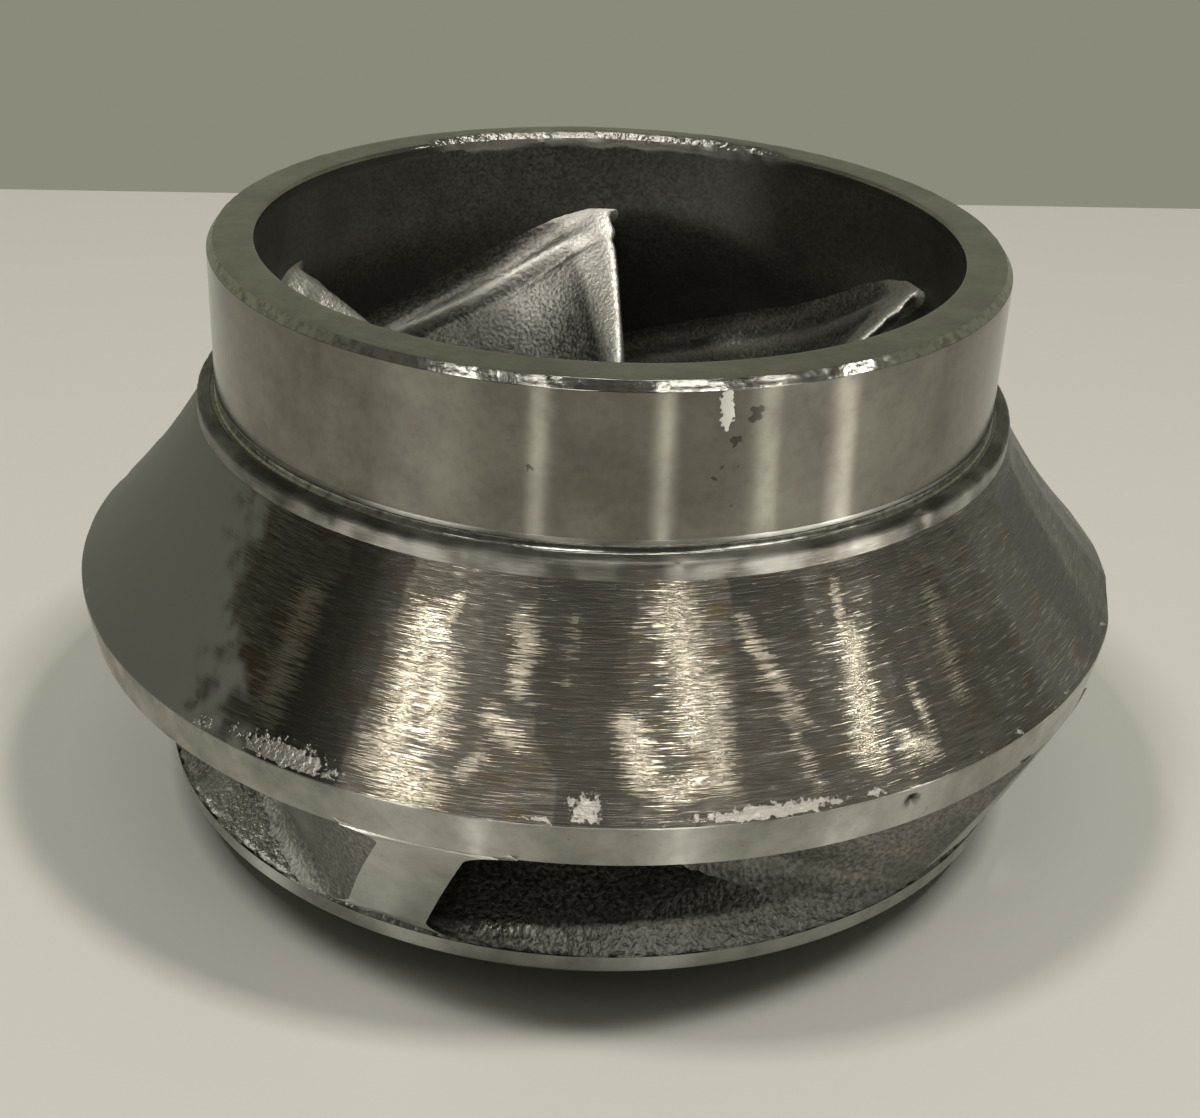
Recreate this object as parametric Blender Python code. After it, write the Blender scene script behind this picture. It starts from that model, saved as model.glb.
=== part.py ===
"""Closed mixed-flow pump impeller with five vanes, standing on the boss of its hub, eye up.

The real one is a single casting. It is made here as nine pieces cut along its natural edges.

The axis is Z and the origin is the centre of the boss face that it stands on.
Profiles are written in millimetres as (radius, height below the eye's top face) and are
turned around the axis. The vanes are lofted between the hub line and the shroud line.
"""
import bpy
import bmesh
import math
from mathutils import Vector

MM = 0.001

# Overall sizes, in millimetres
HEIGHT = 90.0
WEAR_LAND_R = 60.0
EYE_R = 53.0
TIP_R = 82.0
HUB_RIM_R = 70.0
BORE_R = 12.5

# Depths below the top face, in millimetres
LAND_FOOT_Z = -21.8
LEDGE_Z = -23.6
CONE_START_Z = -26.2
TIP_Z = -51.0
BAND_Z = -57.4
HUB_RIM_Z = -81.5
HUB_BACK_Z = -84.4
NOSE_Z = -31.0

# Shroud
RIM_CHAMFER = (0.9, 1.3)
LEDGE_R = 62.8
BAND_R = 80.8
CONE_SAG = 0.9
EYE_BEND_R = 25.0
TIP_ROUND = 0.5
EYE_EDGE_ROUND = 1.0

# Hub
NOSE_R = 19.5
NOSE_LIP = 2.5
HUB_MID = (36.0, -52.0)
SHELL = 5.6
BOSS_R = 26.0
BORE_CHAMFER = 0.8
KEY_WIDTH = 8.0
KEY_DEPTH = 3.3

# Vanes
VANE_COUNT = 5
INLET_THICK = 3.6
OUTLET_THICK = 4.5
FIRST_VANE_DEG = 91.8
NOSE_LENGTH = 3.4
SHROUD_LEAD_Z = -12.8
HUB_LEAD_T = 0.05
SHROUD_WRAP_DEG = 91.7
SHROUD_BEND = 0.0
HUB_LEAD_DEG = -8.0
HUB_WRAP_DEG = 90.5
HUB_BEND = 0.5

# Clearance left between touching solids
GAP = 0.3

# Facets
TURN_STEPS = 80
VANE_STEPS = 20
SPAN_STEPS = 5
HUB_SAMPLES = 48


def lerp(a, b, t):
    return a + (b - a) * t


def clear_scene():
    """Remove whatever the file holds, so that the model starts from nothing."""
    for obj in list(bpy.data.objects):
        bpy.data.objects.remove(obj, do_unlink=True)


def metal(name, colour, roughness):
    """One Principled metal for one piece."""
    mat = bpy.data.materials.new(name)
    mat.use_nodes = True
    shader = mat.node_tree.nodes["Principled BSDF"]
    shader.inputs["Base Color"].default_value = (*colour, 1.0)
    shader.inputs["Metallic"].default_value = 1.0
    shader.inputs["Roughness"].default_value = roughness
    mat.diffuse_color = (*colour, 1.0)
    return mat


def add_object(name, bm, mat):
    """Turn a bmesh into a named object with outward faces and smooth shading."""
    bmesh.ops.recalc_face_normals(bm, faces=bm.faces)
    mesh = bpy.data.meshes.new(name)
    bm.to_mesh(mesh)
    bm.free()
    mesh.materials.append(mat)
    mesh.shade_smooth()
    mesh.set_sharp_from_angle(angle=math.radians(30.0))
    obj = bpy.data.objects.new(name, mesh)
    bpy.context.scene.collection.objects.link(obj)
    return obj


def rounded(points, radii, steps=3):
    """Copy a closed outline, with each corner that has a radius turned into an arc."""
    result = []
    count = len(points)
    for i, point in enumerate(points):
        radius = radii.get(i, 0.0)
        if radius == 0.0:
            result.append(point)
            continue
        corner = Vector(point)
        back = (Vector(points[i - 1]) - corner).normalized()
        ahead = (Vector(points[(i + 1) % count]) - corner).normalized()
        half = back.angle(ahead) / 2.0
        reach = radius / math.tan(half)
        centre = corner + (back + ahead).normalized() * radius / math.sin(half)
        start = corner + back * reach - centre
        turn = start.angle_signed(corner + ahead * reach - centre)
        for k in range(steps + 1):
            a = -turn * k / steps
            x = start.x * math.cos(a) - start.y * math.sin(a)
            y = start.x * math.sin(a) + start.y * math.cos(a)
            result.append((centre.x + x, centre.y + y))
    return result


def turned(name, outline, mat):
    """Turn a closed outline around the Z axis."""
    bm = bmesh.new()
    verts = [bm.verts.new((r * MM, 0.0, (HEIGHT + z) * MM)) for r, z in outline]
    edges = [bm.edges.new((verts[i - 1], verts[i])) for i in range(len(verts))]
    bmesh.ops.spin(bm, geom=verts + edges, cent=(0, 0, 0), axis=(0, 0, 1),
                   angle=2.0 * math.pi, steps=TURN_STEPS, use_merge=True)
    return add_object(name, bm, mat)


def cone_direction():
    """Unit direction of the shroud's straight cone, outward and down."""
    return Vector((TIP_R - LEDGE_R, TIP_Z - CONE_START_Z)).normalized()


def shroud_line(t):
    """Inside of the shroud from the top of the eye (0) to the outlet (1), as (radius, depth)."""
    down = cone_direction()
    corner_z = BAND_Z - (EYE_R - BAND_R) * -down.y / down.x
    bend = math.acos(-down.y)
    reach = EYE_BEND_R * math.tan(bend / 2.0)
    straight = -corner_z - reach
    arc = EYE_BEND_R * bend
    cone = (BAND_R - EYE_R) / down.x - reach
    s = t * (straight + arc + cone)
    if s <= straight:
        return Vector((EYE_R, -s))
    if s <= straight + arc:
        a = (s - straight) / EYE_BEND_R
        return Vector((EYE_R + EYE_BEND_R * (1.0 - math.cos(a)),
                       -straight - EYE_BEND_R * math.sin(a)))
    s -= straight + arc
    return Vector((EYE_R, corner_z)) + down * (reach + s)


def hub_curve():
    """Points of the passage side of the hub, from the nose to the rim, at uneven steps."""
    start = Vector((NOSE_R, NOSE_Z - NOSE_LIP))
    end = Vector((HUB_RIM_R, HUB_RIM_Z))
    middle = Vector(HUB_MID) * 2.0 - (start + end) / 2.0
    shares = [k / HUB_SAMPLES for k in range(HUB_SAMPLES + 1)]
    return [start.lerp(middle, q).lerp(middle.lerp(end, q), q) for q in shares]


def hub_line(t):
    """Passage side of the hub at an even pace from the nose (0) to the rim (1)."""
    points = hub_curve()
    steps = [(b - a).length for a, b in zip(points, points[1:])]
    left = t * sum(steps)
    for a, b, step in zip(points, points[1:], steps):
        if left <= step:
            return a.lerp(b, left / step)
        left -= step
    return points[-1]


def normal_of(line, t, side):
    """Unit normal of a profile line, towards the passage for the given side."""
    step = 0.002
    along = line(min(t + step, 1.0)) - line(max(t - step, 0.0))
    return Vector((-along.y, along.x)).normalized() * side


def find_t(line, depth):
    """Place on a line where it reaches the given depth, by halving."""
    low, high = 0.0, 1.0
    for _ in range(40):
        middle = (low + high) / 2.0
        if line(middle).y > depth:
            low = middle
        else:
            high = middle
    return low


def hollow_cone(parts=5):
    """Points between the ledge and the tip of the ground cone, which is slightly hollow."""
    inward = Vector((cone_direction().y, -cone_direction().x))
    points = []
    for k in range(1, parts):
        q = k / parts
        straight = Vector((LEDGE_R, CONE_START_Z)).lerp(Vector((TIP_R, TIP_Z)), q)
        points.append(tuple(straight + inward * CONE_SAG * 4.0 * q * (1.0 - q)))
    return points


def inside_at(depth):
    """Point on the inside of the shroud at the given depth."""
    return tuple(shroud_line(find_t(shroud_line, depth)))


def build_eye_ring(mat):
    """Eye ring with its wear land, undercut and ledge, down to where the cone starts."""
    foot = CONE_START_Z + GAP / 2.0
    outline = [
        (WEAR_LAND_R - RIM_CHAMFER[0], 0.0),
        (WEAR_LAND_R, -RIM_CHAMFER[1]),
        (WEAR_LAND_R, LAND_FOOT_Z),
        (WEAR_LAND_R - 0.5, LAND_FOOT_Z - 1.0),
        (WEAR_LAND_R - 0.1, LEDGE_Z - 0.5),
        (WEAR_LAND_R + 0.8, LEDGE_Z + 0.2),
        (LEDGE_R, LEDGE_Z - 0.1),
        (LEDGE_R, foot),
        inside_at(foot),
    ]
    outline += [inside_at(foot * (1.0 - k / 6.0)) for k in range(1, 5)]
    outline.append((EYE_R, 0.0))
    outline = rounded(outline, {len(outline) - 1: EYE_EDGE_ROUND})
    return turned("eye_ring", outline, mat)


def build_shroud(mat):
    """Front shroud: the ground cone and the outlet band at the widest diameter."""
    top = CONE_START_Z - GAP / 2.0
    outline = [(LEDGE_R, top)] + hollow_cone()
    tip = len(outline)
    outline += [(TIP_R, TIP_Z), (BAND_R, BAND_Z)]
    inner_steps = 8
    start = find_t(shroud_line, top)
    outline += [tuple(shroud_line(lerp(1.0, start, k / inner_steps))) for k in range(1, inner_steps + 1)]
    return turned("shroud", rounded(outline, {tip: TIP_ROUND}), mat)


def hub_at(radius):
    """Share of the hub line where it reaches the given radius, by halving."""
    low, high = 0.0, 1.0
    for _ in range(40):
        middle = (low + high) / 2.0
        if hub_line(middle).x < radius:
            low = middle
        else:
            high = middle
    return low


def build_hub(mat):
    """Sleeve of the hub: the nose, the bore with its keyway and the boss that it stands on."""
    end = hub_at(BOSS_R)
    outline = [
        (BORE_R, NOSE_Z - BORE_CHAMFER),
        (BORE_R + BORE_CHAMFER, NOSE_Z),
        (NOSE_R - 2.0, NOSE_Z),
    ]
    outline += [tuple(hub_line(end * k / 5.0)) for k in range(6)]
    foot = len(outline)
    outline += [
        (BOSS_R, -HEIGHT),
        (BORE_R + BORE_CHAMFER, -HEIGHT),
        (BORE_R, -HEIGHT + BORE_CHAMFER),
    ]
    hub = turned("hub", rounded(outline, {foot: 0.8}), mat)
    cut_keyway(hub)
    return hub


def build_back_shroud(mat):
    """Back shroud: the conical shell around the sleeve, with the rim that closes the outlet."""
    start = hub_at(BOSS_R + GAP)
    outline = [tuple(hub_line(lerp(start, 1.0, k / 7.0))) for k in range(8)]
    under_start = hub_line(1.0) + normal_of(hub_line, 1.0, -1.0) * SHELL
    under_end = hub_line(start) + normal_of(hub_line, start, -1.0) * SHELL
    slope = (under_end - under_start).normalized()
    rim_in = under_start + slope * (HUB_BACK_Z - under_start.y) / slope.y
    root = under_start + slope * (BOSS_R + GAP - under_start.x) / slope.x
    rim = len(outline)
    outline += [(HUB_RIM_R - 0.4, HUB_BACK_Z), tuple(rim_in), tuple(root)]
    return turned("back_shroud", rounded(outline, {rim: 0.5, rim + 1: 1.5}), mat)


def cut_keyway(hub):
    """Keyway along the whole bore, on the +X side."""
    bm = bmesh.new()
    reach = BORE_R + KEY_DEPTH
    bmesh.ops.create_cube(bm, size=1.0)
    bmesh.ops.scale(bm, vec=Vector((reach * MM, KEY_WIDTH * MM, 2.0 * HEIGHT * MM)), verts=bm.verts)
    bmesh.ops.translate(bm, vec=Vector((reach * MM / 2.0, 0.0, HEIGHT * MM / 2.0)), verts=bm.verts)
    cutter = add_object("keyway_cutter", bm, hub.data.materials[0])
    cutter.hide_render = True
    cutter.display_type = "WIRE"
    cut = hub.modifiers.new("keyway", "BOOLEAN")
    cut.operation = "DIFFERENCE"
    cut.solver = "EXACT"
    cut.object = cutter


def wrap_share(u, bend):
    """Share of the wrap reached at u: even with no bend, else slow at the inlet."""
    return (1.0 - bend) * u + bend * u * u


def vane_angle(u, v):
    """Angle around the axis of the middle of a vane, in radians from its shroud-side lead."""
    at_hub = HUB_LEAD_DEG + HUB_WRAP_DEG * wrap_share(u, HUB_BEND)
    at_shroud = SHROUD_WRAP_DEG * wrap_share(u, SHROUD_BEND)
    return math.radians(lerp(at_hub, at_shroud, v))


def vane_meridian(u, v):
    """Radius and depth of a vane point: u from inlet to outlet, v from hub to shroud."""
    lead_t = find_t(shroud_line, SHROUD_LEAD_Z)
    hub_t = lerp(HUB_LEAD_T, 1.0, u)
    shroud_t = lerp(lead_t, 1.0, u)
    low = hub_line(hub_t) + normal_of(hub_line, hub_t, 1.0) * GAP
    high = shroud_line(shroud_t) + normal_of(shroud_line, shroud_t, -1.0) * GAP
    return low.lerp(high, v)


def half_width(u, v):
    """Half of the vane's width around the axis, in radians, from its true thickness."""
    step = 0.004
    a, b = max(u - step, 0.0), min(u + step, 1.0)
    along = (vane_meridian(b, v) - vane_meridian(a, v)).length
    radius = vane_meridian(u, v).x
    around = radius * (vane_angle(b, v) - vane_angle(a, v))
    sine = along / math.hypot(along, around)
    length = along / (b - a)
    nose = min(u * length / NOSE_LENGTH, 1.0)
    swell = math.sqrt(1.0 - (1.0 - nose) ** 2)
    return swell * lerp(INLET_THICK, OUTLET_THICK, u) / (2.0 * radius * sine)


def vane_rows():
    """Values of u: close together over the rounded nose, then even."""
    nose = [0.0, 0.004, 0.012, 0.026, 0.046]
    rest = [lerp(0.072, 1.0, k / VANE_STEPS) for k in range(VANE_STEPS + 1)]
    return nose + rest


def build_vane(index, mat):
    """One wrapped vane, lofted in rows from inlet to outlet."""
    start = math.radians(FIRST_VANE_DEG - 360.0 / VANE_COUNT * index)
    bm = bmesh.new()
    rows = vane_rows()
    grid = {}
    for i, u in enumerate(rows):
        for j in range(SPAN_STEPS + 1):
            v = j / SPAN_STEPS
            place = vane_meridian(u, v)
            middle = start + vane_angle(u, v)
            half = half_width(u, v)
            shared = None
            for k in (-1, 0, 1):
                inside = k == 0 and 0 < j < SPAN_STEPS and 0 < i < len(rows) - 1
                if inside:
                    continue
                if i == 0 and shared is not None:
                    grid[i, j, k] = shared
                    continue
                a = middle + k * half
                shared = bm.verts.new((place.x * math.cos(a) * MM, place.x * math.sin(a) * MM,
                                       (HEIGHT + place.y) * MM))
                grid[i, j, k] = shared

    def patch(corners):
        face = []
        for key in corners:
            if grid[key] not in face:
                face.append(grid[key])
        if len(face) > 2:
            bm.faces.new(face)

    last = len(rows) - 1
    for i in range(last):
        for j in range(SPAN_STEPS):
            for k in (-1, 1):
                patch([(i, j, k), (i + 1, j, k), (i + 1, j + 1, k), (i, j + 1, k)])
        for j in (0, SPAN_STEPS):
            for k in (-1, 0):
                patch([(i, j, k), (i + 1, j, k), (i + 1, j, k + 1), (i, j, k + 1)])
    for j in range(SPAN_STEPS):
        for k in (-1, 0):
            patch([(last, j, k), (last, j + 1, k), (last, j + 1, k + 1), (last, j, k + 1)])
    return add_object("vane_%d" % (index + 1), bm, mat)


def main():
    clear_scene()
    build_eye_ring(metal("turned_stainless", (0.60, 0.59, 0.57), 0.28))
    build_shroud(metal("ground_stainless", (0.56, 0.54, 0.50), 0.36))
    build_hub(metal("machined_stainless", (0.58, 0.57, 0.55), 0.34))
    build_back_shroud(metal("cast_stainless", (0.47, 0.46, 0.44), 0.48))
    for index in range(VANE_COUNT):
        build_vane(index, metal("vane_stainless_%d" % (index + 1), (0.52, 0.51, 0.49), 0.42))


main()
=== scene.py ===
"""Dressed pump impeller: one worn stainless casting with turned, hand-ground and as-cast faces.

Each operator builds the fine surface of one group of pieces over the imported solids, and the
last one lays the plain floor, the soft light and the camera. Lengths inside the shape functions
are in millimetres, with depths below the top face of the eye negative.
"""
import functools
import math
import random

import bmesh
import bpy
import numpy as np
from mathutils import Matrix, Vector, noise


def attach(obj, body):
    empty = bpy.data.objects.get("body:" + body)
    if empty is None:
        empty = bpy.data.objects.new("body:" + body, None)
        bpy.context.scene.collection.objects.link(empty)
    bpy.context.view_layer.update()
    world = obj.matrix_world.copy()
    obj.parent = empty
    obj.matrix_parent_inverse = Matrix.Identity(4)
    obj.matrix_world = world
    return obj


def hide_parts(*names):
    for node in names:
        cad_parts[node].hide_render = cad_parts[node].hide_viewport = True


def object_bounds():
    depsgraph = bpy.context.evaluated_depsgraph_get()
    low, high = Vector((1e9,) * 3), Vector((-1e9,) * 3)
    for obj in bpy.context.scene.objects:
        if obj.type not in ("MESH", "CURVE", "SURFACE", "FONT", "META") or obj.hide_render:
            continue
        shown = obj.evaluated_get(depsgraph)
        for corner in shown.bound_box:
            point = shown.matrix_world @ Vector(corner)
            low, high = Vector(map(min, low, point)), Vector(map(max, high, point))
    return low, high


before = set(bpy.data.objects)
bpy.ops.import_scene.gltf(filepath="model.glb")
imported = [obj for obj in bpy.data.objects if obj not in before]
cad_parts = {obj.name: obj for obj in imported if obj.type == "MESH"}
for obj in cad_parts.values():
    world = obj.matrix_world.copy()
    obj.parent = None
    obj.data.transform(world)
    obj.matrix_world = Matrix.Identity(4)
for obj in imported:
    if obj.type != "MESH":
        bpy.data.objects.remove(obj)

bl_info = {
    "name": "Pump Impeller Dressing",
    "version": (1, 0, 0),
    "blender": (4, 5, 0),
    "location": "View3D > Sidebar > Impeller",
    "description": "Builds a worn cast impeller with machined and hand-ground faces",
    "category": "Object",
}

MM = 0.001
CAD_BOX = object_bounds()
HEIGHT = CAD_BOX[1].z / MM

# Shroud and eye, in millimetres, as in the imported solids
WEAR_LAND_R = 60.0
EYE_R = 53.0
TIP_R = 82.0
LEDGE_R = 62.8
BAND_R = 80.8
LAND_FOOT_Z = -21.8
LEDGE_Z = -23.6
CONE_START_Z = -26.2
TIP_Z = -51.0
BAND_Z = -57.4
CONE_SAG = 0.9
CONE_MID_R = 72.0
EYE_BEND_R = 25.0
CHAMFER_WIDE = 0.9
CHAMFER_HIGH = 1.3

# Hub and back shroud
BORE_R = 12.5
BORE_CHAMFER = 0.8
NOSE_R = 19.5
NOSE_Z = -31.0
NOSE_LIP = 2.5
HUB_MID = (36.0, -52.0)
HUB_RIM_R = 70.0
HUB_RIM_Z = -81.5
HUB_BACK_Z = -84.4
SHELL = 5.6
BOSS_R = 26.0
KEY_WIDTH = 8.0
KEY_DEPTH = 3.3

# Vanes: where their leads start, how far they wrap, and how deep they sink into the walls
VANE_COUNT = 5
INLET_THICK = 3.6
OUTLET_THICK = 4.5
FIRST_VANE_DEG = 91.8
NOSE_LENGTH = 3.4
SHROUD_LEAD_Z = -12.8
HUB_LEAD_T = 0.05
SHROUD_WRAP_DEG = 91.7
HUB_LEAD_DEG = -8.0
HUB_WRAP_DEG = 90.5
HUB_BEND = 0.5
SINK = 0.5

# Kinds of surface, which are also the material slots of a turned piece
TURNED, SATIN, GROUND, CAST, BLASTED, MACHINED, FILED = range(7)

# Longest side of a turned outline in mm, by kind of surface
RING_SPACING = {TURNED: 1.1, SATIN: 0.9, GROUND: 0.8, CAST: 1.2, BLASTED: 1.3, MACHINED: 1.3, FILED: 0.5}

# Hand-ground flats on the front of the cone: the angle where each ends, the angle it faces, and
# how dark it is, which is painted shade, darker on the flats that mirror the dim room
FLATS = [
    (-121.5, -125.5, 0.35), (-113.2, -118.0, 1.0), (-102.3, -107.2, 0.25), (-93.5, -97.9, 0.5),
    (-88.0, -90.5, 1.0), (-82.2, -83.2, 0.8), (-75.2, -79.3, 0.2), (-66.0, -69.4, 0.9),
    (-57.2, -59.2, 0.6), (-51.5, -54.5, 0.9), (-46.0, -48.5, 0.6), (-37.0, -41.0, 0.8),
    (-27.0, -32.0, 0.6),
]

# Strokes of the grinder, smoother and painted paler as a painted highlight: angle and distance
# down the cone in mm at both ends, half width in mm, and how bright
HIGHLIGHT_STROKES = [
    (-108.6, 8.0, -109.0, 24.0, 2.3, 1.0), (-106.4, 13.0, -105.4, 22.0, 2.3, 1.0),
    (-109.5, 26.0, -105.6, 29.4, 2.6, 1.0), (-105.2, 4.0, -106.7, 10.0, 0.7, 0.8),
    (-98.2, 6.5, -96.6, 9.0, 1.3, 0.9), (-97.4, 8.0, -97.6, 15.0, 1.2, 0.8),
    (-99.8, 19.0, -97.4, 21.8, 1.3, 0.8), (-101.8, 26.5, -100.2, 24.0, 1.0, 0.7),
    (-80.6, 3.0, -79.4, 20.0, 2.6, 1.0), (-77.2, 14.0, -77.4, 26.0, 1.6, 0.9),
    (-82.6, 5.0, -81.4, 8.5, 1.6, 0.8), (-86.2, 19.0, -84.6, 25.5, 1.7, 1.0),
    (-83.0, 27.0, -79.0, 25.6, 1.6, 0.9), (-73.4, 6.0, -68.6, 19.0, 1.3, 0.7),
    (-60.8, 3.0, -61.0, 10.0, 0.8, 0.8), (-60.1, 10.5, -62.1, 25.5, 2.0, 1.0),
    (-57.6, 26.0, -55.4, 27.4, 1.5, 0.9), (-54.6, 19.0, -54.4, 26.0, 0.8, 0.6),
    (-124.0, 10.0, -123.2, 24.0, 2.4, 0.7), (-69.6, 20.0, -68.0, 28.0, 1.0, 0.5),
    (-92.0, 5.0, -92.6, 14.0, 1.0, 0.4), (-47.5, 8.0, -48.6, 22.0, 1.6, 0.5),
]

# Seeds of the random flats at the back and of the small errors in every cut
FLATS_SEED = 11
CUTS_SEED = 5

# Where the flats start and end, the radius of their slight bend lengthwise, and how much the cone
# drops for each mm along it
FLATS_START_DEG = -131.0
FLATS_END_DEG = 218.0
FLAT_BEND_R = 700.0
CONE_STEEPNESS = 0.79

# The upper and the lower tier of each flat: how they slope, and the range of their middles down the
# cone in mm. Neighbouring cuts meet in an edge that is rounder where the sharpness is lower.
TIER_SLOPES = (-0.010, 0.014)
TIER_MIDDLES = ((7.0, 11.0), (20.0, 25.0))
CUT_SHARPNESS = 16.0

# Ground metal ends at these angles, and blasted skin lies between them. The front edge leans by this
# many degrees for each mm below this depth.
GROUND_FROM_DEG = -132.5
GROUND_TO_DEG = -188.0
GROUND_LEAN = 0.55
GROUND_LEAN_Z = -40.0

# Line down the middle of the front shroud's wall: depths below the top, and radii
WALL_DEPTHS = (26.0, 57.4)
WALL_RADII = (60.0, 80.2)

# Single marks: angle, depth or radius, and half width and height in mm
LEDGE_NICK = (-45.5, -23.9, 1.6, 1.6)
BAND_PORE = (-58.3, -53.2, 1.3, 0.8)
SKIN_PATCHES = [(-90.0, -49.3, 2.6, 1.7), (-73.0, -50.2, 13.0, 0.9), (-119.0, -49.8, 9.0, 1.6)]
FLOOR_GLINT = (-99.5, -66.0, 5.0, 2.6)

# Rough cast strip on the far edge of the eye: where it rises and fades, and its width in mm
STRIP_RISE_DEG = (50.0, 62.0)
STRIP_FADE_DEG = (124.0, 126.5)
STRIP_WIDE = 2.9

# Root fillets of a vane in mm: the radius at its nose, and how much it grows
HUB_FILLET, HUB_FILLET_MORE = 2.6, 1.2
SHROUD_FILLET, SHROUD_FILLET_MORE = 1.1, 1.3

# Bead along the shroud side of a vane and the low groove below it: distance from the shroud, half
# width and height in mm
BEADS = [(4.2, 1.1, 0.55), (6.6, 0.7, -0.28)]

# Edges sharper than this stay sharp when a mesh is shaded smooth
SHARP_DEG = 38.0


def hex_colour(code):
    """sRGB hex to a linear colour with alpha."""
    parts = [int(code[i:i + 2], 16) / 255.0 for i in (1, 3, 5)]
    linear = [c / 12.92 if c <= 0.04045 else ((c + 0.055) / 1.055) ** 2.4 for c in parts]
    return (*linear, 1.0)


def node(tree, kind, inputs=None, out=0, **settings):
    """Add one shader node with its settings, values and links, and return one of its outputs."""
    made = tree.nodes.new("ShaderNode" + kind)
    for key, value in settings.items():
        setattr(made, key, value)
    for key, value in (inputs or {}).items():
        if isinstance(value, bpy.types.NodeSocket):
            tree.links.new(value, made.inputs[key])
        else:
            made.inputs[key].default_value = value
    return made.outputs[out]


# Outlines


def even_line(points):
    """Make a function from a share of a line's length, 0 to 1, to its radius and depth."""
    line = np.array(points, float)
    steps = np.hypot(*np.diff(line, axis=0).T)
    pace = np.concatenate([[0.0], np.cumsum(steps)]) / steps.sum()

    def at(t):
        t = np.clip(t, 0.0, 1.0)
        return np.interp(t, pace, line[:, 0]), np.interp(t, pace, line[:, 1])

    return at


def cone_direction():
    """Unit direction of the straight cone of the front shroud, outward and down."""
    run, drop = TIP_R - LEDGE_R, TIP_Z - CONE_START_Z
    length = math.hypot(run, drop)
    return run / length, drop / length


def inside_points():
    """Inside of the front shroud, from the top of the eye to the outlet."""
    run, drop = cone_direction()
    corner_z = BAND_Z + (BAND_R - EYE_R) * -drop / run
    bend = math.acos(-drop)
    reach = EYE_BEND_R * math.tan(bend / 2.0)
    straight = -corner_z - reach
    points = [(EYE_R, 0.0), (EYE_R, -straight)]
    steps = 24
    for k in range(1, steps + 1):
        a = bend * k / steps
        points.append((EYE_R + EYE_BEND_R * (1.0 - math.cos(a)), -straight - EYE_BEND_R * math.sin(a)))
    points.append((BAND_R, BAND_Z))
    return points


def passage_points():
    """Passage side of the hub and back shroud, from the nose to the rim."""
    start = Vector((NOSE_R, NOSE_Z - NOSE_LIP))
    end = Vector((HUB_RIM_R, HUB_RIM_Z))
    middle = Vector(HUB_MID) * 2.0 - (start + end) / 2.0
    steps = 96
    shares = [k / steps for k in range(steps + 1)]
    return [tuple(start.lerp(middle, q).lerp(middle.lerp(end, q), q)) for q in shares]


INSIDE = even_line(inside_points())
PASSAGE = even_line(passage_points())

# Share of the inside line where the vanes start at the shroud
SHARES = np.linspace(0.0, 1.0, 800)
LEAD_T = float(np.interp(-SHROUD_LEAD_Z, -INSIDE(SHARES)[1], SHARES))


def rounded(points, radii, steps=4):
    """Copy a closed outline of (radius, depth, kind), with each listed corner turned into an arc."""
    result = []
    count = len(points)
    for i, (x, y, kind) in enumerate(points):
        radius = radii.get(i, 0.0)
        if radius == 0.0:
            result.append((x, y, kind))
            continue
        corner = Vector((x, y))
        back = (Vector(points[i - 1][:2]) - corner).normalized()
        ahead = (Vector(points[(i + 1) % count][:2]) - corner).normalized()
        half = back.angle(ahead) / 2.0
        reach = radius / math.tan(half)
        centre = corner + (back + ahead).normalized() * radius / math.sin(half)
        start = corner + back * reach - centre
        turn = start.angle_signed(corner + ahead * reach - centre)
        for k in range(steps + 1):
            a = -turn * k / steps
            px = start.x * math.cos(a) - start.y * math.sin(a)
            py = start.x * math.sin(a) + start.y * math.cos(a)
            result.append((centre.x + px, centre.y + py, kind))
    return result


def filled_in(points):
    """Add points along a closed outline, so that no side is longer than its kind of surface allows."""
    result = []
    for (x0, y0, kind), (x1, y1, _) in zip(points, points[1:] + points[:1]):
        parts = max(1, math.ceil(math.hypot(x1 - x0, y1 - y0) / RING_SPACING[kind]))
        for k in range(parts):
            q = k / parts
            result.append((x0 + (x1 - x0) * q, y0 + (y1 - y0) * q, kind))
    return result


# Surface detail


def fractal(places, size, octaves=3, shift=0.0):
    """Fractal noise, about -1 to 1, at places in mm, with features of the given size in mm.

    The shift moves the pattern, so that no two patterns are alike.
    """
    scaled = places.reshape(-1, 3) / size + shift
    values = [noise.fractal(p, 1.0, 2.0, octaves) for p in scaled.tolist()]
    return np.array(values).reshape(places.shape[:-1])


def smooth_step(value, low, high):
    """Smooth rise from 0 at the low value to 1 at the high one."""
    t = np.clip((value - low) / (high - low), 0.0, 1.0)
    return t * t * (3.0 - 2.0 * t)


def around_axis(angle_deg, radius, depth):
    """Places in mm from angles in degrees, radii and depths."""
    a = np.radians(angle_deg)
    return np.stack(np.broadcast_arrays(radius * np.cos(a), radius * np.sin(a), depth), -1)


def spot(angle_deg, depth, mark, radius):
    """Soft round spot, 1 at its centre, from its angle, depth, half width and half height."""
    at_deg, at_depth, wide, tall = mark
    across = np.radians((angle_deg - at_deg + 180.0) % 360.0 - 180.0) * radius / wide
    return np.exp(-across ** 2 - ((depth - at_depth) / tall) ** 2)


def flats_table():
    """Facing angles, cutting depths and tones of all flats, the back ones at even random steps."""
    draw = random.Random(FLATS_SEED)
    flats = list(FLATS)
    end = flats[-1][0]
    while end < FLATS_END_DEG:
        wide = draw.uniform(7.5, 13.0)
        flats.append((end + wide, end + wide * draw.uniform(0.38, 0.62), draw.uniform(0.2, 0.9)))
        end += wide
    ends = [f[0] for f in flats]
    aims = [f[1] for f in flats]
    tones = [f[2] for f in flats]
    depths = [0.0]
    for k in range(len(flats) - 1):
        before, after = math.radians(ends[k] - aims[k]), math.radians(ends[k] - aims[k + 1])
        depths.append(depths[-1] + CONE_MID_R * (after ** 2 - before ** 2) / 2.0)
    return aims, depths, tones


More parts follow.
